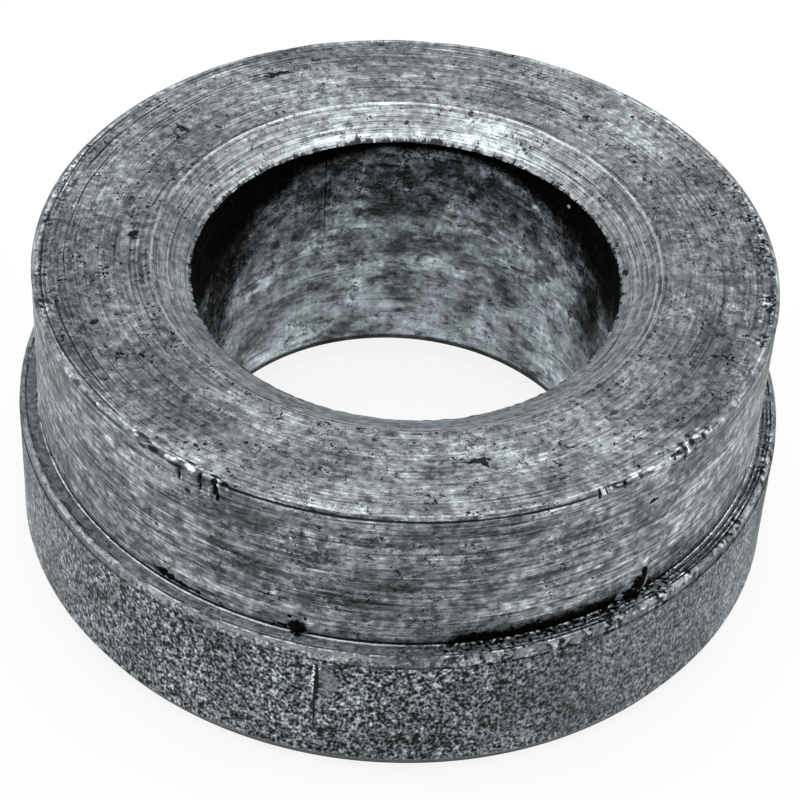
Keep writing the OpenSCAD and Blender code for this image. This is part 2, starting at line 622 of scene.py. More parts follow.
def vary(pattern, amount):
    """A factor that swings round 1 as the pattern swings round 0.5."""
    return (pattern - 0.5) * amount + 1


def grit(finish, per_mm, shift):
    """Crisp light and dark grains: noise through a steep step, from 0 to 1."""
    return finish.grain(per_mm, shift, detail=1, roughness=0.55).step(0.36, 0.64)


def flecks(finish, round_cells, across, shift):
    """Crisp flecks drawn out a little round the axis: -1 in a dark one and above 0 in a light one."""
    patches = (finish.grain(0.5, shift, detail=2) - 0.5) * 0.25
    grains = finish.streaks(round_cells, across, shift, detail=3, roughness=0.68) + patches
    return grains.step(0.59, 0.66) * 0.7 - grains.step(0.43, 0.38)


def scribbles(finish, per_mm, shift, more=0.0, width=0.022):
    """Thin winding cracks where bent noise crosses its middle, kept only in patches: -1 on a crack and
    above 0 on the raised edge beside it. more is added to the patches, so cracks crowd where it is high."""
    winding = finish.grain(per_mm, shift, detail=1, bend=0.9)
    patches = (finish.grain(per_mm * 0.3, shift + 5, detail=3, roughness=0.6) + more).step(0.52, 0.6)
    return (winding.near(0.5 + width * 1.9, width) * 0.6 - winding.near(0.5, width)) * patches


def grooves(finish, across, pitch, where):
    """Sharp turning grooves a pitch apart that wander a little: -1 in a groove, above 0 on its edge."""
    wander = finish.streaks(2.5, across * 0.6, 13.0, detail=2) * 7
    wave = (across * (2 * math.pi / pitch) + wander).math("SINE")
    gaps = finish.streaks(4, across * 2.2, 17.0, detail=2).step(0.42, 0.55)
    return (wave.near(0.5, 0.45) * 0.9 - wave.step(0.7, 0.95)) * gaps * where


def pits(finish, share, shift, more=0.0):
    """Small dots where the grain is at its highest: -1 inside a dot and above 0 on its raised rim. share
    moves the threshold, and more is added to the grain, so pits crowd where it is high."""
    clumps = finish.grain(PITS_PER_MM * 0.2, shift + 3, detail=2) * 0.6
    grains = finish.grain(PITS_PER_MM, shift, detail=2, roughness=0.6) + clumps + more
    return grains.near(share - 0.02, 0.04) * 0.6 - grains.step(share, share + 0.05)


def egg(finish, place, middle, halves, ragged, inner=0.8):
    """A ragged egg: how far a place is from the middle, counted in halves, through a step that starts at
    inner, so that a low inner gives a soft egg."""
    values = {0: place, 1: [1 / h for h in halves], 2: [-m / h for m, h in zip(middle, halves)]}
    offset = finish.add("ShaderNodeVectorMath", values, operation="MULTIPLY_ADD")
    far = finish.add("ShaderNodeVectorMath", {0: offset}, "Value", operation="LENGTH")
    return finish.fray.math("MULTIPLY_ADD", 2 * ragged, far).step(1.15, inner)


def spot(finish, degrees, radius, height, half_round, half_across, ragged=0.5):
    """An egg round a point given by angle, radius and height: 1 inside."""
    halves = (math.degrees(half_round / radius), half_across, half_across)
    return egg(finish, finish.polar, (degrees, radius, height), halves, ragged)


def spots(finish, table, where, ragged, join="MAXIMUM"):
    """The greatest, or the sum, of a table's spots. A spot is an angle, a radius or height, half its
    length round the axis and half its width, and where gives its radius and height."""
    mask = 0.0
    for degrees, across, half_round, half_across in table:
        mask = spot(finish, degrees, *where(across), half_round, half_across, ragged).math(join, mask)
    return mask


def on_spigot(height):
    """The radius and height of a spot on the spigot's wall."""
    return SPIGOT_R, height


def on_top(radius):
    """The radius and height of a spot on the top face."""
    return radius, TOP_Z


def on_cone(radius):
    """The radius and height of a spot on the countersink."""
    return radius, TOP_Z - COUNTERSINK_H * (MOUTH_R - radius) / (MOUTH_R - BORE_R)


def chipped(finish, per_mm, shift, where, low, gain):
    """A factor on the tone where an edge is beaten: grit above low is a bright chip, and the lowest
    grit a dark one."""
    chips = grit(finish, per_mm, shift)
    return 1 + where * (chips.step(low, 1.0) * gain - chips.step(0.45, 0.2) * 0.95)


def marks(finish, place, radius, table, ragged=0.45, inner=0.8):
    """A factor on the tone: 1 plus each mark's gain inside its egg. A mark is an angle, a radius or
    height, half its length round the axis, half its width and its gain."""
    factor = 1.0
    for degrees, across, half_round, half_across, gain in table:
        halves = (math.degrees(half_round / radius), half_across, 1)
        mark = egg(finish, place, (degrees, across, 0), halves, ragged, inner)
        factor = mark.math("MULTIPLY_ADD", gain, 1.0) * factor
    return factor


def stains(finish, place, radius, table):
    """Soft marks, each a cloud that fades out from its middle."""
    return marks(finish, place, radius, table, 0.6, 0.0)


def frayed_dirt_and_shade(finish, per_mm=2.0, fray=1.8, low=0.25, high=0.75, roughness=0.7):
    """The mesh's mask of dirt and painted shade with its edge broken up by grain, through a step from low to
    high.
    """
    mask = finish.attribute("dirt")
    ragged = (finish.grain(per_mm, 7.3, detail=4, roughness=roughness) - 0.5) * fray * (1 - mask * 0.75)
    return (mask + ragged * mask.step(0.0, 0.3)).step(low, high)


def scores(finish, across, shift):
    """Long thin scores round the axis, in patches: -1 on a dark one and above 0 on a light one."""
    lines = finish.streaks(1.3, across, shift, detail=2, roughness=0.6)
    patches = finish.streaks(5, across * 0.12, shift + 2, detail=2).step(0.4, 0.6)
    return (lines.step(0.56, 0.68) * 0.8 - lines.step(0.44, 0.34)) * patches


def grease_lumps(finish):
    """1 on the lumps of grease in the corner: the ones that the mesh raises, a tenth larger."""
    table = [(degrees, height, 1.1 * half, 1.1 * half_z) for degrees, height, half, half_z in GREASE]
    return spots(finish, table, on_spigot, 0.6)


def bar_specks(finish, strength):
    """The bar skin's scale as a factor on the tone: the square of a swing round 1, so that the light
    specks are bright and few and the dark ones run down to black."""
    specks = finish.noise(finish.x * 6.4, finish.y * 6.4, finish.z * 5.0, detail=1)
    clumps = finish.grain(2.6, 5.0, detail=1, roughness=0.6) - 0.5
    swing = (specks + clumps * 0.6 - 0.5) * (strength * 5.0) + 1
    swing = swing.math("MAXIMUM", 0.06)
    return swing * swing


# %% [markdown]
# ### Marks along the rim
# The blows left bright flakes, black slots and burrs across the broken edge, on the wall and on the face
# alike. A mark's height is read along the camera's slope, so that it stays where the photograph shows it,
# however deep the metal is knocked in below it. A gain above 0 is a bright flake and below 0 a dark one.

# %% Marks along the rim
RIM_MARKS = [
    (-130.8, 16.65, 0.25, 0.12, 1.2), (-129.6, 16.72, 0.45, 0.09, -0.9), (-128.8, 16.2, 0.25, 0.12, -0.9),
    (-126.9, 16.4, 0.35, 0.12, -0.9), (-127.0, 16.95, 0.5, 0.2, -0.5), (-123.5, 16.5, 0.42, 0.12, 2.4),
    (-122.8, 16.25, 0.4, 0.08, -0.9), (-120.3, 16.5, 0.42, 0.15, 2.2), (-120.5, 16.75, 0.3, 0.07, -0.9),
    (-121.9, 15.85, 0.09, 0.4, -0.9), (-121.5, 15.85, 0.05, 0.35, 0.9), (-120.4, 15.0, 0.18, 0.15, -0.95),
    (-118.5, 16.2, 0.1, 0.3, -0.95), (-118.3, 15.8, 0.09, 0.3, -0.9), (-117.9, 15.5, 0.05, 0.3, 0.9),
    (-117.3, 16.45, 0.32, 0.17, 2.2), (-116.3, 16.62, 0.35, 0.09, -0.95), (-116.2, 16.25, 0.2, 0.25, -0.9),
    (-115.8, 15.85, 0.15, 0.35, -0.9), (-115.5, 15.5, 0.08, 0.3, -0.85), (-116.8, 15.6, 0.06, 0.3, 1.2),
    (-114.3, 16.4, 0.4, 0.12, -0.9), (-113.2, 16.4, 0.3, 0.08, 1.5), (-114.9, 15.5, 0.3, 0.14, -0.6),
    (-59.4, 16.3, 0.1, 0.3, -0.9), (-58.7, 16.45, 0.06, 0.25, 1.3), (-58.0, 16.35, 0.07, 0.25, -0.9),
    (-57.2, 16.5, 0.08, 0.2, 1.3), (-56.5, 16.6, 0.3, 0.06, -0.8), (-56.1, 16.45, 0.14, 0.1, 1.3),
    (-55.2, 16.4, 0.08, 0.2, -0.9), (-54.3, 16.5, 0.14, 0.08, 1.2), (-51.5, 16.4, 0.3, 0.1, -0.6),
    (-48.8, 16.35, 0.4, 0.2, 0.5), (-46.9, 16.3, 0.3, 0.2, 0.6), (-45.0, 16.45, 0.3, 0.1, -0.8),
    (-43.6, 16.4, 0.12, 0.4, -0.9), (-42.8, 16.4, 0.09, 0.35, 1.6), (-41.4, 16.45, 0.2, 0.3, -0.95),
    (-40.3, 16.65, 0.16, 0.14, 2.2), (-39.2, 16.4, 0.12, 0.25, -0.9), (-36.5, 16.5, 0.3, 0.12, -0.8),
    (-53.2, 16.6, 0.2, 0.12, 1.3), (-52.3, 16.4, 0.12, 0.2, -0.8), (-50.3, 16.55, 0.2, 0.1, 1.4),
    (-42.2, 16.75, 0.2, 0.12, 1.8), (-41.2, 16.95, 0.16, 0.1, -0.9), (-43.4, 16.8, 0.16, 0.1, -0.8),
    (-39.0, 16.8, 0.2, 0.14, 1.6), (-37.8, 16.6, 0.14, 0.2, -0.8), (-44.6, 16.2, 0.16, 0.16, 1.4),
    (-8.0, 16.85, 0.25, 0.14, -0.9), (-6.9, 16.75, 0.2, 0.1, 1.6), (1.0, 16.75, 0.25, 0.1, -0.9),
    (2.2, 16.8, 0.15, 0.1, 1.5), (10.5, 16.8, 0.2, 0.12, 1.3), (11.5, 16.8, 0.25, 0.12, -0.9),
]


def rim_marks(finish):
    """The rim's marks as a factor on the tone."""
    return marks(finish, finish.rim, SPIGOT_R, RIM_MARKS)


# %% [markdown]
# ### Top face
# A facing cut leaves rings about a quarter of a millimetre apart. Handling wore them away in clouds, oil
# stains lie over them, and a painted highlight runs along the face's outer edge.

# %% Top face
FEED_PITCH = 0.24
TOP_SPOTS = [(-74.8, 15.25, 0.55, 0.18), (-74.0, 15.4, 0.2, 0.3), (142.4, 15.6, 0.2, 0.4),
             (118.4, 16.8, 0.3, 0.25), (116.5, 16.8, 0.7, 0.14), (54.0, 15.7, 0.2, 0.2),
             (178.2, 14.0, 0.35, 0.25), (-157.0, 16.5, 0.2, 0.2)]
TOP_STAINS = [(-83, 16.0, 2.6, 1.6, -0.5), (-68, 16.0, 2.4, 1.6, 0.6), (-127, 16.0, 2.4, 1.5, -0.35),
              (-98, 18.2, 3.0, 1.3, 0.5), (-118, 18.2, 2.4, 1.3, 0.3), (-84, 18.2, 1.8, 1.2, -0.45),
              (-50, 18.2, 3.0, 1.3, -0.35), (-34, 18.2, 3.0, 1.3, -0.4), (-18, 16.2, 2.4, 1.4, -0.35),
              (6, 18.2, 2.6, 1.3, -0.45), (-150, 18.0, 6.0, 1.5, -0.35), (67, 17.2, 3.2, 2.4, 0.5),
              (112, 18.0, 3.4, 1.5, -0.45), (112, 14.2, 1.8, 1.4, -0.35), (38, 14.1, 2.0, 1.3, -0.4),
              (157, 14.0, 2.0, 1.2, -0.4), (92, 15.2, 3.0, 1.6, 0.3), (157, 18.0, 3.0, 1.2, -0.3),
              (-38, 14.2, 2.0, 1.2, 0.25), (22, 16.2, 2.4, 1.4, 0.3), (55, 14.2, 2.0, 1.2, 0.25)]


def top_finish():
    """Tone: clouds, smears, turning lines, salt, scores and stains multiplied together, with cracks,
    cuts, pits and spots dug out of them. Relief: the same lines and marks, a few hundredths of a
    millimetre high."""
    f = Finish("faced_top")
    clouds = f.grain(0.2, 3.1, detail=2, roughness=0.5)
    smears = f.streaks(9, f.r * 1.1, 4.0, detail=3, roughness=0.65)
    lines = f.streaks(3.5, f.r * 6.5, 1.0, detail=3, roughness=0.7)
    salt = f.grain(1.9, 0.0, detail=3, roughness=0.65)
    hairs = f.streaks(6, f.r * 8, 21.0, detail=1).step(0.36, 0.64)
    worn = f.grain(0.3, 9.0, detail=2).step(0.42, 0.6)
    feed = (f.r * (2 * math.pi / FEED_PITCH) + lines * 4).math("SINE") * (worn + f.r.step(16.8, 18.6))
    side = f.east.math("ABSOLUTE").step(0.55, 0.9)
    crowd = f.r.step(15.5, 18.6) * side * 0.08 + f.r.near(MOUTH_R, 0.5) * 0.04
    beaten = f.r.step(17.4, 18.4) * (f.east.step(0.86, 0.97) + f.east.step(-0.86, -0.97) * 0.8)
    beaten = beaten * f.grain(0.9, 23.0, detail=2).step(0.4, 0.55)
    crowd = crowd + f.r.step(15.8, 17.4) * f.east.step(-0.8, -0.97) * 0.08
    cracks = scribbles(f, 1.7, 1.0, crowd) + scribbles(f, 2.8, 8.0, crowd)
    cuts = grooves(f, f.r, 0.55, f.r.step(15.6, 17.6) * f.east.step(-0.3, -0.8) * 0.8 + 0.14)
    shade = 1 - side * f.north.step(0.25, -0.05) * 0.25
    dots = pits(f, 0.975, 5.0, side * 0.03)
    dots = (dots - spots(f, TOP_SPOTS, on_top, 1.3, "ADD")).math("MAXIMUM", -1.0)
    tone = (0.268 * shade * vary(clouds, 1.8) * vary(smears, 1.0) * vary(lines, 2.0) * vary(salt, 2.3)
            * vary(hairs, 0.14) * vary(grit(f, 2.2, 3.0), 0.45) * vary(grit(f, 4.2, 6.0), 0.12)
            * (flecks(f, 32, f.r * 3.4, 7.0) * 0.5 + 1) * (scores(f, f.r * 7, 41.0) * 0.5 + 1)
            * stains(f, f.face, SPIGOT_R, TOP_STAINS))
    # The ring just inside the outer edge is a painted highlight.
    tone = tone * (feed * 0.06 + 1) * (f.r.near(SPIGOT_R - 0.28, 0.16) * 0.7 + 1)
    tone = tone * (1 - f.r.near(MOUTH_R + 0.15, 0.08) * 0.35)
    tone = tone * (cracks * 0.7 + 1) * (cuts * 0.8 + 1) * (dots * 0.95 + 1)
    tone = tone * chipped(f, 4.6, 21.0, beaten, 0.8, 1.1) * rim_marks(f)
    f.colour(tone.math("MAXIMUM", BLACK), GREY_TINT)
    f.metal(0.75, 0.5, 0.5, spec=0.3)
    f.relief(feed * 0.005 + lines * 0.04 + salt * 0.07 + dots * 0.04 + cracks * 0.02 + cuts * 0.015)
    return f.material


# %% [markdown]
# ### Countersink
# The cutter left this face last and cleanest: bright, with sharp rings, some of them black where oil
# stayed. Its outer edge carries the thin lip, with a painted glint along it wherever it isn't broken.

# %% Countersink
BLACK_RINGS = [(11.62, 0.05, 0.6), (12.08, 0.06, 0.75), (12.55, 0.04, 0.35), (12.85, 0.05, 0.45)]
COUNTERSINK_SPOTS = [(92.0, 12.0, 0.16, 0.14), (5.0, 11.25, 0.35, 0.16), (105.9, 11.15, 0.2, 0.3),
                     (84.3, 11.1, 0.2, 0.25), (60.0, 11.9, 0.12, 0.1), (-139.0, 12.5, 0.2, 0.1)]
COUNTERSINK_STAINS = [(70, 12.1, 2.6, 1.5, 0.35), (30, 12.6, 2.2, 1.1, -0.45), (90, 12.7, 2.0, 0.9, -0.4),
                      (111, 11.5, 2.2, 0.9, 0.35), (-169, 12.0, 2.2, 1.4, 0.35),
                      (-146, 11.6, 2.6, 1.0, -0.3), (150, 12.7, 2.0, 0.9, -0.45),
                      (167, 11.4, 1.8, 0.8, -0.35), (-50, 12.6, 2.4, 0.9, 0.35), (-50, 11.3, 2.0, 0.7, -0.25),
                      (28, 11.4, 1.8, 0.7, -0.25)]


def countersink_finish():
    """Tone: turning rings and fine rings multiplied by soft smears, scores and stains, with a painted
    highlight along the inner edge at the back, painted glints along the outer lip, painted light on the front
    half and painted shade on the back half, with black rings, pits and a torn inner rim taken out."""
    f = Finish("bright_countersink")
    rings = f.streaks(1.2, f.r * 5, 2.0, detail=4, roughness=0.75)
    fine = f.streaks(4, f.r * 14, 8.0, detail=2)
    smears = f.streaks(6, f.r * 1.2, 5.0, detail=3, roughness=0.65)
    salt = f.grain(1.8, 2.0, detail=4, roughness=0.75)
    broken = f.streaks(5, f.r * 0.5, 9.0, detail=4, roughness=0.7)
    dots = pits(f, 1.0, 1.0) - spots(f, COUNTERSINK_SPOTS, on_cone, 1.2, "ADD")
    cuts = grooves(f, f.r, 0.34, f.grain(0.4, 15.0).step(0.45, 0.6) * 0.6)
    cracks = scribbles(f, 2.6, 3.0, f.r.near(MOUTH_R, 0.5) * 0.06)
    # inner is a painted highlight along the back of the inner edge.
    inner = f.r.near(11.45, 0.55) * f.north.step(0.3, 0.9)
    tone = 0.33 * vary(rings, 2.6) * vary(fine, 1.4) * vary(smears, 0.7) * vary(salt, 2.0)
    tone = tone * vary(grit(f, 2.2, 5.0), 0.35) * (flecks(f, 28, f.r * 3.6, 3.0) * 0.4 + 1)
    tone = tone * (scores(f, f.r * 8, 43.0) * 0.6 + 1)
    tone = tone * stains(f, f.face, MOUTH_R, COUNTERSINK_STAINS)
    tone = tone * (cuts * 0.7 + 1) * (cracks * 0.8 + 1) * (inner * 0.35 + 1)
    for radius, width, depth in BLACK_RINGS:
        ring = (f.r + (smears - 0.5) * 0.15).near(radius, width) * broken.step(0.44, 0.56)
        tone = tone * (1 - ring * depth)
    # The sparkles and the bright line along the lip below are painted glints.
    sparkle = grit(f, 3.0, 14.0).step(0.7, 0.95) * f.r.near(MOUTH_R - 0.1, 0.3)
    whole = broken.step(0.6, 0.5) * 0.85 + 0.15
    tone = tone * (f.r.near(MOUTH_R - 0.04, 0.08) * whole * 1.5 + 1) * (sparkle * 0.5 + 1)
    tone = tone * (1 - f.r.near(MOUTH_R - 0.2, 0.1) * 0.35)
    # Painted light brightens the front half, and painted shade darkens the back half.
    tone = tone * (f.north.step(0.2, -0.8) * 0.3 + 1) * (1 - f.north.step(0.3, 1.0) * 0.08)
    torn = f.streaks(34, 0.0, 3.0, detail=3, roughness=0.7) - (f.r - BORE_R) * 0.8
    torn = (torn + f.sector(82, 107, 3) * 0.08).step(0.46, 0.49)
    dots = (dots - torn).math("MAXIMUM", -1.0)
    tone = tone * (dots * 0.9 + 1)
    f.colour(tone.math("MAXIMUM", BLACK).math("MINIMUM", 0.62), GREY_TINT)
    f.metal(0.8, 0.42, 0.3)
    f.relief(rings * 0.05 + fine * 0.02 + salt * 0.04 + dots * 0.04 + cuts * 0.01)
    return f.material


# %% [markdown]
# ### Bore wall
# The drilled wall is dull and stained: brown and blue oxide in soft clouds, black smudges with ragged
# edges, black under the mouth that is partly soot and partly painted shade, darkest towards the sides, one
# upright scratch and one painted glint. It is darker and more smudged towards the top.

# %% Bore wall
BORE_STAINS = [(54, 13.6, 2.6, 1.8, 0.6), (126, 13.2, 2.0, 2.2, 0.5), (66, 8.6, 3.0, 1.8, 0.3),
               (78, 5.4, 3.2, 1.6, -0.45), (113, 5.2, 2.2, 1.5, -0.4), (138, 5.0, 2.4, 2.4, -0.4),
               (28, 5.6, 1.8, 2.0, -0.3), (56, 5.2, 2.2, 1.6, 0.25), (114, 2.6, 2.0, 1.2, 0.4),
               (148, 3.0, 2.0, 1.6, -0.5)]


def bore_finish():
    """Tone: clouds, smears, wisps, drips and stains multiplied together and darker towards the top, with
    pits and blots dug out and smooth painted shade from the mask, all of it times one minus the soot, which
    is partly painted shade, plus one painted glint. The hue drifts a little where the oxide is bluer."""
    f = Finish("drilled_bore")
    clouds = f.grain(0.3, 1.0, detail=3, roughness=0.55)
    smears = f.streaks(5, f.z * 0.8, 3.0, detail=5, roughness=0.62)
    wisps = f.streaks(8, f.z * 1.6, 8.0, detail=4, roughness=0.7, bend=0.6)
    salt = f.grain(2.2, 1.0, detail=3, roughness=0.7)
    high = f.z.step(3.0, 15.0)
    smudges = (smears + high * 0.07).step(0.54, 0.64) * 0.65
    threads = (wisps + high * 0.05).step(0.58, 0.68) * 0.7
    rough = high * 0.7 + 0.35
    coarse, fine = grit(f, 1.5, 2.0), grit(f, 3.2, 4.0)
    drips = f.streaks(26, f.z * 0.35, 14.0, detail=3, roughness=0.6)
    dots = pits(f, 1.0, 9.0, f.attribute("dirt") * 0.25 + high * 0.03)
    blots = f.grain(1.1, 4.0, detail=4, roughness=0.75).step(0.56, 0.585) * f.north.step(0.6, 0.9)
    # The mask's factor near the end of this product is smooth painted shade, darkest at the sides under the
    # mouth.
    tone = (0.4 * (1 - high * 0.25) * vary(clouds, 2.6) * vary(smears, -2.2) * vary(wisps, -2.2)
            * vary(salt, rough * 2.8) * vary(coarse, rough * 0.5) * vary(fine, rough * 0.5)
            * (1 - smudges * 0.8) * (1 - threads) * (1 - f.z.band(COUNTERSINK_H, 0.22, 0.2) * 0.92)
            * vary(drips, 1.2) * (scores(f, f.z * 5, 45.0) * 0.5 + 1) * (dots * 0.85 + 1)
            * (1 - blots * f.z.step(9.0, 13.0) * 0.9)
            * (1 - f.attribute("dirt") * 0.55) * stains(f, f.wall, BORE_R, BORE_STAINS))
    scratch_line = spot(f, 115, BORE_R, 12.3, 0.06, 3.2, 0.3)
    # The soot is partly soot and partly painted shade in the hollow under the mouth.
    soot_and_shade = (frayed_dirt_and_shade(f, 1.5, 3.4, 0.1, 1.0, 0.85) + scratch_line * 0.6).math("MINIMUM", 1.0)
    tone = tone * (flecks(f, 18, f.z * 2.2, 4.0) * 0.55 + 1)
    tone = tone.math("MAXIMUM", BLACK) * (1 - soot_and_shade * 0.985)
    # A painted glint on the wall.
    tone = tone + spot(f, 40, BORE_R, 14.7, 0.12, 0.12, 1.5) * 0.6
    hue = f.grain(0.3, 6.0, detail=2).step(0.45, 0.62)
    f.colour(tone, (0.88 + hue * 0.02, 1.0 - hue * 0.02, 1.05 + hue * 0.04))
    f.metal(0.6 - soot_and_shade * 0.6, 0.5 + soot_and_shade * 0.3, spec=0.35 - soot_and_shade * 0.33)
    f.relief(smears * 0.03 + wisps * 0.04 + salt * 0.02)
    return f.material


# %% [markdown]
# ### Spigot wall
# Turned like the top face, but the rings now run round a wall, so height takes the place of radius. Its
# broken edge carries a painted shadow line with a painted highlight line under it, and grease stains the
# middle of the front.

# %% Spigot wall
SMUDGES = [(-102.0, 13.9, 1.0, 0.9, -0.5), (-100.5, 13.2, 0.7, 0.5, -0.5), (-100.7, 10.5, 1.3, 0.7, -0.5),
           (-91.5, 14.8, 2.0, 0.3, -0.5), (-87.6, 12.0, 0.8, 0.3, -0.5), (-112.0, 14.6, 2.2, 0.8, -0.5),
           (-107.0, 11.8, 1.8, 0.5, -0.5), (-62.0, 14.0, 1.6, 0.4, -0.5)]
WALL_STAINS = [(-115, 9.2, 3.4, 1.4, 0.5), (-100, 9.2, 2.4, 1.2, 0.3), (-65, 9.2, 4.0, 1.4, 0.45),
               (-54, 11.0, 3.8, 1.8, 0.35), (-106, 11.0, 1.8, 1.2, 0.3), (-93, 11.2, 3.4, 1.5, -0.4),
               (-145, 12.0, 5.5, 2.4, -0.3), (-84, 15.3, 5.5, 1.5, -0.45), (-35, 15.3, 4.4, 1.6, -0.45),
               (-14, 15.3, 3.0, 1.6, -0.6), (-105, 15.3, 2.0, 1.3, 0.3), (-168, 9.2, 3.4, 1.6, 0.7),
               (-14, 9.2, 3.4, 1.6, 0.6), (-68, 15.0, 2.4, 1.4, -0.3), (-90, 13.2, 2.4, 1.2, -0.3),
               (-172, 15.2, 2.4, 1.4, -0.3)]
WALL_SPOTS = [(-124.8, 8.5, 0.5, 0.3), (-122.0, 8.4, 1.2, 0.14), (-103.9, 9.0, 0.12, 0.12),
              (-101.6, 9.1, 0.1, 0.14), (-104.8, 8.3, 0.5, 0.12), (-48.9, 14.2, 0.3, 0.1)]


def spigot_finish():
    """Tone: the top face's patterns with height in place of radius, darker in the middle of the front,
    with stains, the rim's painted shadow line and painted highlight line, its marks, and grease and painted
    shade along the foot."""
    f = Finish("turned_spigot")
    clouds = f.grain(0.22, 12.0, detail=2)
    smears = f.streaks(10, f.z * 0.9, 2.0, detail=4, roughness=0.65)
    lines = f.streaks(4, f.z * 4.5, 5.0, detail=4, roughness=0.72)
    hairs = f.streaks(7, f.z * 7.5, 21.0, detail=1).step(0.36, 0.64)
    threads = f.streaks(5, f.z * 4.0, 31.0, detail=3, roughness=0.6, bend=0.3).step(0.58, 0.63)
    salt = f.grain(1.9, 6.0, detail=3, roughness=0.65)
    front = (f.north * -1).step(0.55, 0.95) * f.z.near(11.5, 4.5)
    oily = (smears + front * 0.04).step(0.52, 0.64)
    cracks = scribbles(f, 1.9, 4.0)
    cuts = grooves(f, f.z, 0.55, 0.35)
    dots = pits(f, 0.98, 3.0)
    scuffs = f.streaks(22, f.z * 2.6, 3.0, detail=2, roughness=0.6).step(0.36, 0.64)
    shade = 1 - f.z.near(12.0, 3.5) * front * 0.12 - f.east.math("ABSOLUTE").step(0.6, 1.0) * 0.14
    tone = (0.286 * shade * vary(clouds, 1.5) * vary(smears, -1.3) * vary(lines, 3.2) * vary(salt, 2.6)
            * vary(scuffs, 0.3) * vary(grit(f, 2.3, 9.0), 0.55) * vary(hairs, 0.3) * (1 - threads * 0.45)
            * (flecks(f, 24, f.z * 3.6, 8.0) * 0.55 + 1) * (scores(f, f.z * 6, 47.0) * 0.8 + 1)
            * (1 - oily * 0.4) * (cracks * 0.85 + 1) * (cuts * 0.7 + 1) * (dots * 0.9 + 1))
    tone = tone * marks(f, f.wall, SPIGOT_R, SMUDGES, 2.2) * stains(f, f.wall, SPIGOT_R, WALL_STAINS)
    clean = f.sector(-114, -62)
    # Along the broken edge, the band taken out next is a painted shadow line, and the band below it a painted
    # highlight line.
    rim = (f.seen + f.fray * 0.1).band(TOP_Z - 0.16, 0.06) * (clean * 0.85 + 0.15)
    tone = tone * (1 - rim * 0.95) * (f.seen.band(TOP_Z - 0.34, 0.06) * clean * 1.0 + 1) * rim_marks(f)
    # The foot's mask darkens the wall smoothly here, partly grease and partly painted shade in the corner.
    tone = tone * (1 - f.attribute("dirt") * 0.8)
    grime_and_shade = frayed_dirt_and_shade(f, 3.6, 3.0, 0.2, 0.8, 0.8).math("MAXIMUM", grease_lumps(f))
    grime_and_shade = grime_and_shade.math("MAXIMUM", spots(f, WALL_SPOTS, on_spigot, 1.8))
    f.colour(tone.math("MAXIMUM", BLACK) * (1 - grime_and_shade * 0.99), GREY_TINT)
    f.metal(0.75 - grime_and_shade * 0.7, 0.46 + grime_and_shade * 0.3, 0.4, spec=0.5 - grime_and_shade * 0.47)
    f.relief(lines * 0.07 + smears * 0.02 + salt * 0.07 + dots * 0.03 + cracks * 0.02 + cuts * 0.01)
    return f.material


# %% [markdown]
# ### Ledge and groove
# Narrow and clean, with a few sharp rings: a bright lip next to the groove, darker lines further out, and
# a bright outer edge. The groove above it is nearly black, partly dirt and partly painted shade.

# %% Ledge and groove
LEDGE_RINGS = [(18.99, 0.12, 2.2), (19.62, 0.06, -0.6), (19.73, 0.11, 1.3)]
RIGHT_RINGS = [(19.2, 0.06, -0.9), (19.3, 0.05, 1.8), (19.42, 0.06, -0.9), (19.54, 0.06, 1.8),
               (19.62, 0.06, -0.9)]


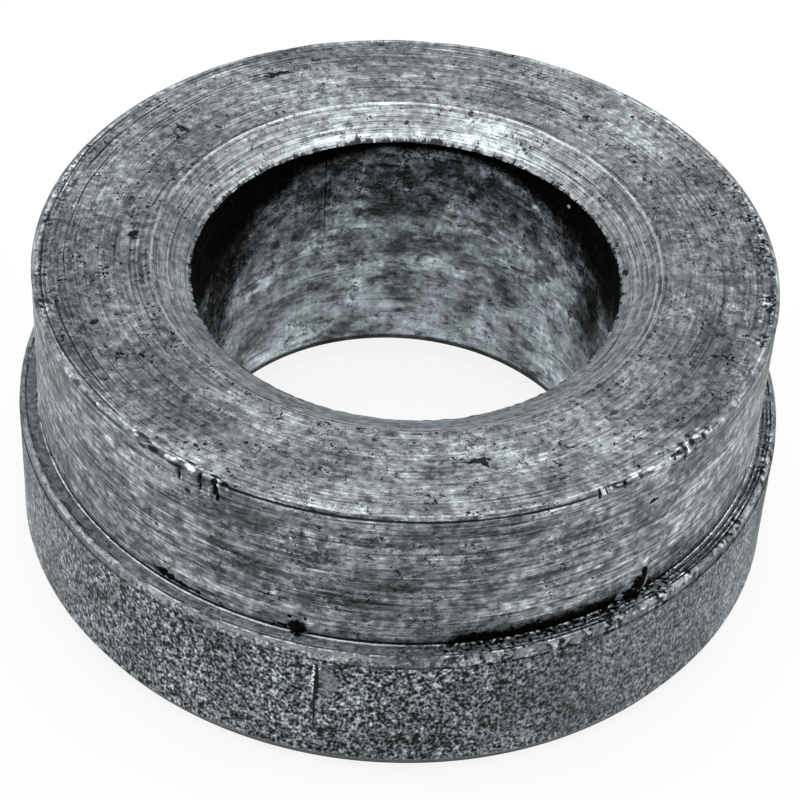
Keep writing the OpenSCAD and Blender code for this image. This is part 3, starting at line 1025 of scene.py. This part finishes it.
def ledge_finish():
    """Tone: smooth rings, each a thin hump at its own radius, times specks on the skimmed wall below.
    Chips sit on the bruised edge to the right, and crumbs of grease where it pooled."""
    f = Finish("turned_ledge")
    rings = f.streaks(2, f.r * 5 + f.z * 4, 3.0, detail=3, roughness=0.7)
    smears = f.streaks(14, f.r + f.z, 1.0, detail=4, roughness=0.65)
    salt = f.grain(2.2, 9.0, detail=3, roughness=0.7)
    flat = f.z.step(LEDGE_Z - 0.2, LEDGE_Z - 0.1)
    rightward = f.sector(-62, 120, 12)
    tone = 0.245 * vary(rings, flat * 1.0 + 0.4) * vary(smears, flat * 0.8 + 0.3)
    tone = tone * vary(salt, flat * 1.2 + 0.6) * vary(grit(f, 3.6, 2.0), 0.4) * (flat * 0.25 + 0.75)
    tone = tone * (1 - f.z.band(LEDGE_Z - SKIM_H + 0.05, 0.05, 0.1) * 0.25) * (1 - rightward * 0.2)
    # Painted light brightens the front left of the ledge, and painted shade darkens its left side.
    tone = tone * (f.sector(-122, -88, 10) * 0.45 + 1) * (1 - f.sector(-200, -150, 20) * 0.3)
    ridges = 0.0
    beads = rightward * (f.grain(5.0, 33.0, detail=1).step(0.38, 0.6) + 0.3)
    worn = f.streaks(16, 0.0, 27.0, detail=3, roughness=0.65).step(0.4, 0.55)
    for radius, width, gain in LEDGE_RINGS + RIGHT_RINGS:
        where = worn if radius > 19.1 else 1
        where = beads * where if (radius, width, gain) in RIGHT_RINGS else where
        ring = (f.r + (smears - 0.5) * 0.05).near(radius, width) * flat * where
        tone = tone * (ring * gain + 1)
        ridges = ring * (gain * 0.03) + ridges
    bare = 1 - flat
    tone = tone * bar_specks(f, bare * (f.sector(-126, -95, 8) * 0.4 + 0.12))
    tone = tone * (flecks(f, 30, f.r * 4.0, 12.0) * 0.6 + 1)
    # The frayed mask here is grease in the corner and partly painted shade.
    grime_and_shade = frayed_dirt_and_shade(f).math("MAXIMUM", grease_lumps(f))
    pooled = f.sector(-80, -44, 6)
    crumbs = f.grain(4.6, 4.0, detail=1) - (f.r - 19.0) * 0.3
    tone = tone * (crumbs.step(0.42, 0.34) * pooled * 1.2 + 1) * (1 - f.sector(-85, -35, 8) * 0.35)
    grime_and_shade = grime_and_shade.math("MAXIMUM", crumbs.step(0.44, 0.5) * pooled * flat)
    cracks = scribbles(f, 2.2, 2.0, (f.east - f.north).step(0.8, 1.25) * 0.08, 0.03)
    bruised = (f.east - f.north).step(0.8, 1.25) * f.r.step(19.25, 19.45)
    bruised = bruised * f.grain(0.8, 19.0, detail=2).step(0.42, 0.52)
    tone = tone * chipped(f, 3.0, 7.0, bruised, 0.86, 1.2)
    f.colour((tone * (cracks * 0.85 + 1)).math("MAXIMUM", BLACK) * (1 - grime_and_shade * 0.99), GREY_TINT)
    f.metal(0.8 - grime_and_shade * 0.75, 0.47, spec=0.5 - grime_and_shade * 0.45)
    f.relief(rings * 0.03 + salt * 0.03 + cracks * 0.02 + ridges)
    return f.material


def groove_finish():
    """Nearly black, partly dirt and partly painted shade, with a slight unevenness."""
    f = Finish("greasy_groove")
    f.colour(0.01 * vary(f.grain(3.0), 1.0), GREY_TINT)
    f.metal(0.0, 0.7, spec=0.1)
    f.relief(f.grain(5.0) * 0.02)
    return f.material


# %% [markdown]
# ### Bar skin
# Rolled bar has a skin of fine scale, all light and dark specks a fraction of a millimetre across. The
# specks are the look here, so the grain gets steep steps. They are strongest in front, where the light
# rakes least, and one rubbed patch beside the scratch is smooth.

# %% Bar skin
# The first stain, a light patch on the left side, is a painted reflection. The others are stains.
SKIN_STAINS_AND_SHEEN = [(-166, 2.0, 6.5, 3.4, 0.5), (-88, 1.8, 6.0, 1.8, -0.4), (-38, 1.8, 3.0, 1.6, -0.3),
               (-27, 3.2, 3.0, 2.6, 0.4), (-14, 6.2, 3.4, 2.0, -0.5), (-67, 5.2, 4.0, 2.2, -0.25),
               (-126, 4.8, 3.0, 2.0, -0.2), (-145, 5.8, 3.5, 1.6, 0.15)]


def skin_finish():
    """Tone: the bar's specks, strongest in front, times clouds, with the scratch cut into them."""
    f = Finish("bar_skin")
    fine = f.grain(6.5, 4.0, detail=1)
    clouds = f.grain(0.3, 2.0, detail=3)
    rubbed = spot(f, -97.4, FLANGE_R, 6.1, 0.5, 1.0, 0.8)
    specks = bar_specks(f, (0.5 + f.sector(-120, -86, 32) * 0.5) * (1 - rubbed * 0.8))
    tone = 0.15 * specks * vary(clouds, 1.6) * vary(fine, 0.8) * stains(f, f.wall, FLANGE_R, SKIN_STAINS_AND_SHEEN)
    cut = spot(f, -99.0, FLANGE_R, 6.0, 0.1, 1.3, 0.2)
    cut = cut.math("MAXIMUM", spot(f, -99.3, FLANGE_R, 4.5, 0.06, 2.0, 0.4))
    burr = spot(f, -99.55, FLANGE_R, 6.2, 0.08, 1.0, 0.2)
    tone = tone * (1 - cut * 0.95) * (burr * 3.0 + 1) * (rubbed * 0.2 + 1)
    f.colour(tone.math("MAXIMUM", BLACK), (0.91, 1.0, 1.04))
    f.metal(0.75, 0.55, spec=0.2)
    f.relief(specks * 0.015 + fine * 0.02)
    return f.material


# %% [markdown]
# ### Base chamfer and base
# The chamfer was cut when the bush was parted off, so it is smoother than the skin above it. The base
# isn't seen in the photograph, so it gets a plain faced finish like the top's.

# %% Base chamfer and base


def edge_finish():
    """Tone: dark smears, kept dark overall as painted shade, lighter along the upper corner and darkest, as a
    painted contact shadow, where the chamfer meets the floor.
    """
    f = Finish("base_edge")
    smears = f.streaks(16, f.z * 2, 1.0, detail=4, roughness=0.65)
    salt = f.grain(2.4, 3.0, detail=3, roughness=0.7)
    # The low tone is painted shade, and the dip at the floor a painted contact shadow.
    tone = 0.07 * vary(smears, 1.6) * vary(salt, 2.0)
    tone = tone * (f.z.near(BASE_CHAMFER_H, 0.25) * 2.0 + 1) * (1 - f.z.near(0.0, 0.3) * 0.95)
    f.colour(tone.math("MAXIMUM", BLACK), GREY_TINT)
    f.metal(0.4, 0.6, spec=0.15)
    f.relief(smears * 0.02 + salt * 0.03)
    return f.material


def base_finish():
    """Tone: the top face's smears, lines and salt alone."""
    f = Finish("faced_base")
    smears = f.streaks(9, f.r * 1.1, 9.0, detail=3, roughness=0.65)
    lines = f.streaks(3.5, f.r * 6.5, 6.0, detail=3, roughness=0.7)
    salt = f.grain(1.5, 8.0, detail=4, roughness=0.75)
    tone = 0.2 * vary(smears, 1.2) * vary(lines, 1.6) * vary(salt, 2.0)
    f.colour(tone.math("MAXIMUM", BLACK), GREY_TINT)
    f.metal(0.75, 0.48, 0.5)
    f.relief(lines * 0.04 + salt * 0.03)
    return f.material


# %% [markdown]
# ### Which finish goes where
# The mesh already knows each strip's zone by number, so the finishes only have to be appended in the
# same order.

# %% Apply the finishes
FINISHES = {
    "skin": skin_finish, "edge": edge_finish, "ledge": ledge_finish, "groove": groove_finish,
    "spigot": spigot_finish, "top": top_finish, "countersink": countersink_finish,
    "bore": bore_finish, "base": base_finish,
}
for zone in ZONES:
    bush.data.materials.append(FINISHES[zone]())
print("finishes:", [m.name for m in bush.data.materials])

# %% [markdown]
# ## Light and floor
# Metal shows what stands round it. A broad lamp above and behind lights the countersink's far side, two
# tall ones brighten the walls' left and right, and the room stays dim in front, so the middle of the
# walls is darker, as in the photograph. The floor is white to the camera and in reflections, and still
# takes the bush's shadow.

# %% Lamps


def area_lamp(name, where, size, power):
    """A rectangular lamp of some watts at a place in metres, turned to face the bush."""
    data = bpy.data.lights.new(name, "AREA")
    data.shape = "RECTANGLE"
    data.size, data.size_y = size
    data.energy = power
    lamp = add_object(name, data)
    eye = np.array(where)
    target = np.array([0, 0, TOP_Z * MM / 2])
    lamp.rotation_euler = Vector((eye - target).tolist()).to_track_quat("Z", "Y").to_euler()
    lamp.location = eye.tolist()


area_lamp("above", (0.0, 0.06, 0.45), (0.4, 0.4), 1.7)
area_lamp("left", (-0.45, 0.05, 0.12), (0.2, 0.25), 1.0)
area_lamp("right", (0.45, 0.05, 0.12), (0.2, 0.25), 1.0)
print("lamps:", sorted(lamp.name for lamp in bpy.data.lights))

# %% [markdown]
# ### Room
# The rest of the room is an even, cool grey, which fills what the lamps leave dark.

# %% Room
ROOM_COLOUR = (0.9, 0.95, 1.0, 1)
ROOM_LIGHT = 0.4

world = bpy.data.worlds.new("room")
world.use_nodes = True
background = world.node_tree.nodes["Background"]
plug(world.node_tree, {"Color": ROOM_COLOUR, "Strength": ROOM_LIGHT}, background.inputs)
bpy.context.scene.world = world
print("room light:", ROOM_LIGHT)

# %% [markdown]
# ### Floor
# A diffuse floor alone comes out grey where little light falls. Mixing in a white glow, for the camera
# and for reflections only, lifts it to the photograph's white without sending more light to the metal's
# shaded side.

# %% Floor
FLOOR_HALF = 3.0
FLOOR_GLOW = 0.87
FLOOR_COLOUR = (0.85, 0.85, 0.85, 1)


def floor_material():
    """A matt cover mixed with a plain glow by the share FLOOR_GLOW on the rays that see it directly, in
    a reflection or through glass, and by nothing on the others."""
    material = bpy.data.materials.new("white_floor")
    material.use_nodes = True
    tree = material.node_tree
    cover = tree.nodes["Principled BSDF"]
    values = {"Base Color": FLOOR_COLOUR, "Roughness": 0.9, "Specular IOR Level": 0.0}
    plug(tree, values, cover.inputs)
    glow = add_node(tree, "ShaderNodeEmission", {})
    rays = tree.nodes.new("ShaderNodeLightPath").outputs
    seen = sum(Wire(tree, rays[f"Is {kind} Ray"]) for kind in ("Camera", "Glossy", "Transmission"))
    share = seen.math("MINIMUM", 1.0) * FLOOR_GLOW
    mix = add_node(tree, "ShaderNodeMixShader", {0: share, 1: Wire(tree, cover.outputs[0]), 2: glow})
    plug(tree, {"Surface": mix}, tree.nodes["Material Output"].inputs)
    return material


floor_mesh = bpy.data.meshes.new("floor")
corners = np.array([[-1, -1, 0], [1, -1, 0], [1, 1, 0], [-1, 1, 0]]) * FLOOR_HALF
floor_mesh.from_pydata(corners.tolist(), [], [(0, 1, 2, 3)])
floor = add_object("floor", floor_mesh)
floor_mesh.materials.append(floor_material())
print("floor:", 2 * FLOOR_HALF, "metres square")

# %% [markdown]
# ## Hand the piece over
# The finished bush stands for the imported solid, rides on its one body, and keeps inside its box.

# %% Hand over
bpy.context.scene.view_settings.view_transform = "Standard"
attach(bush, "root")
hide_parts("bushing")
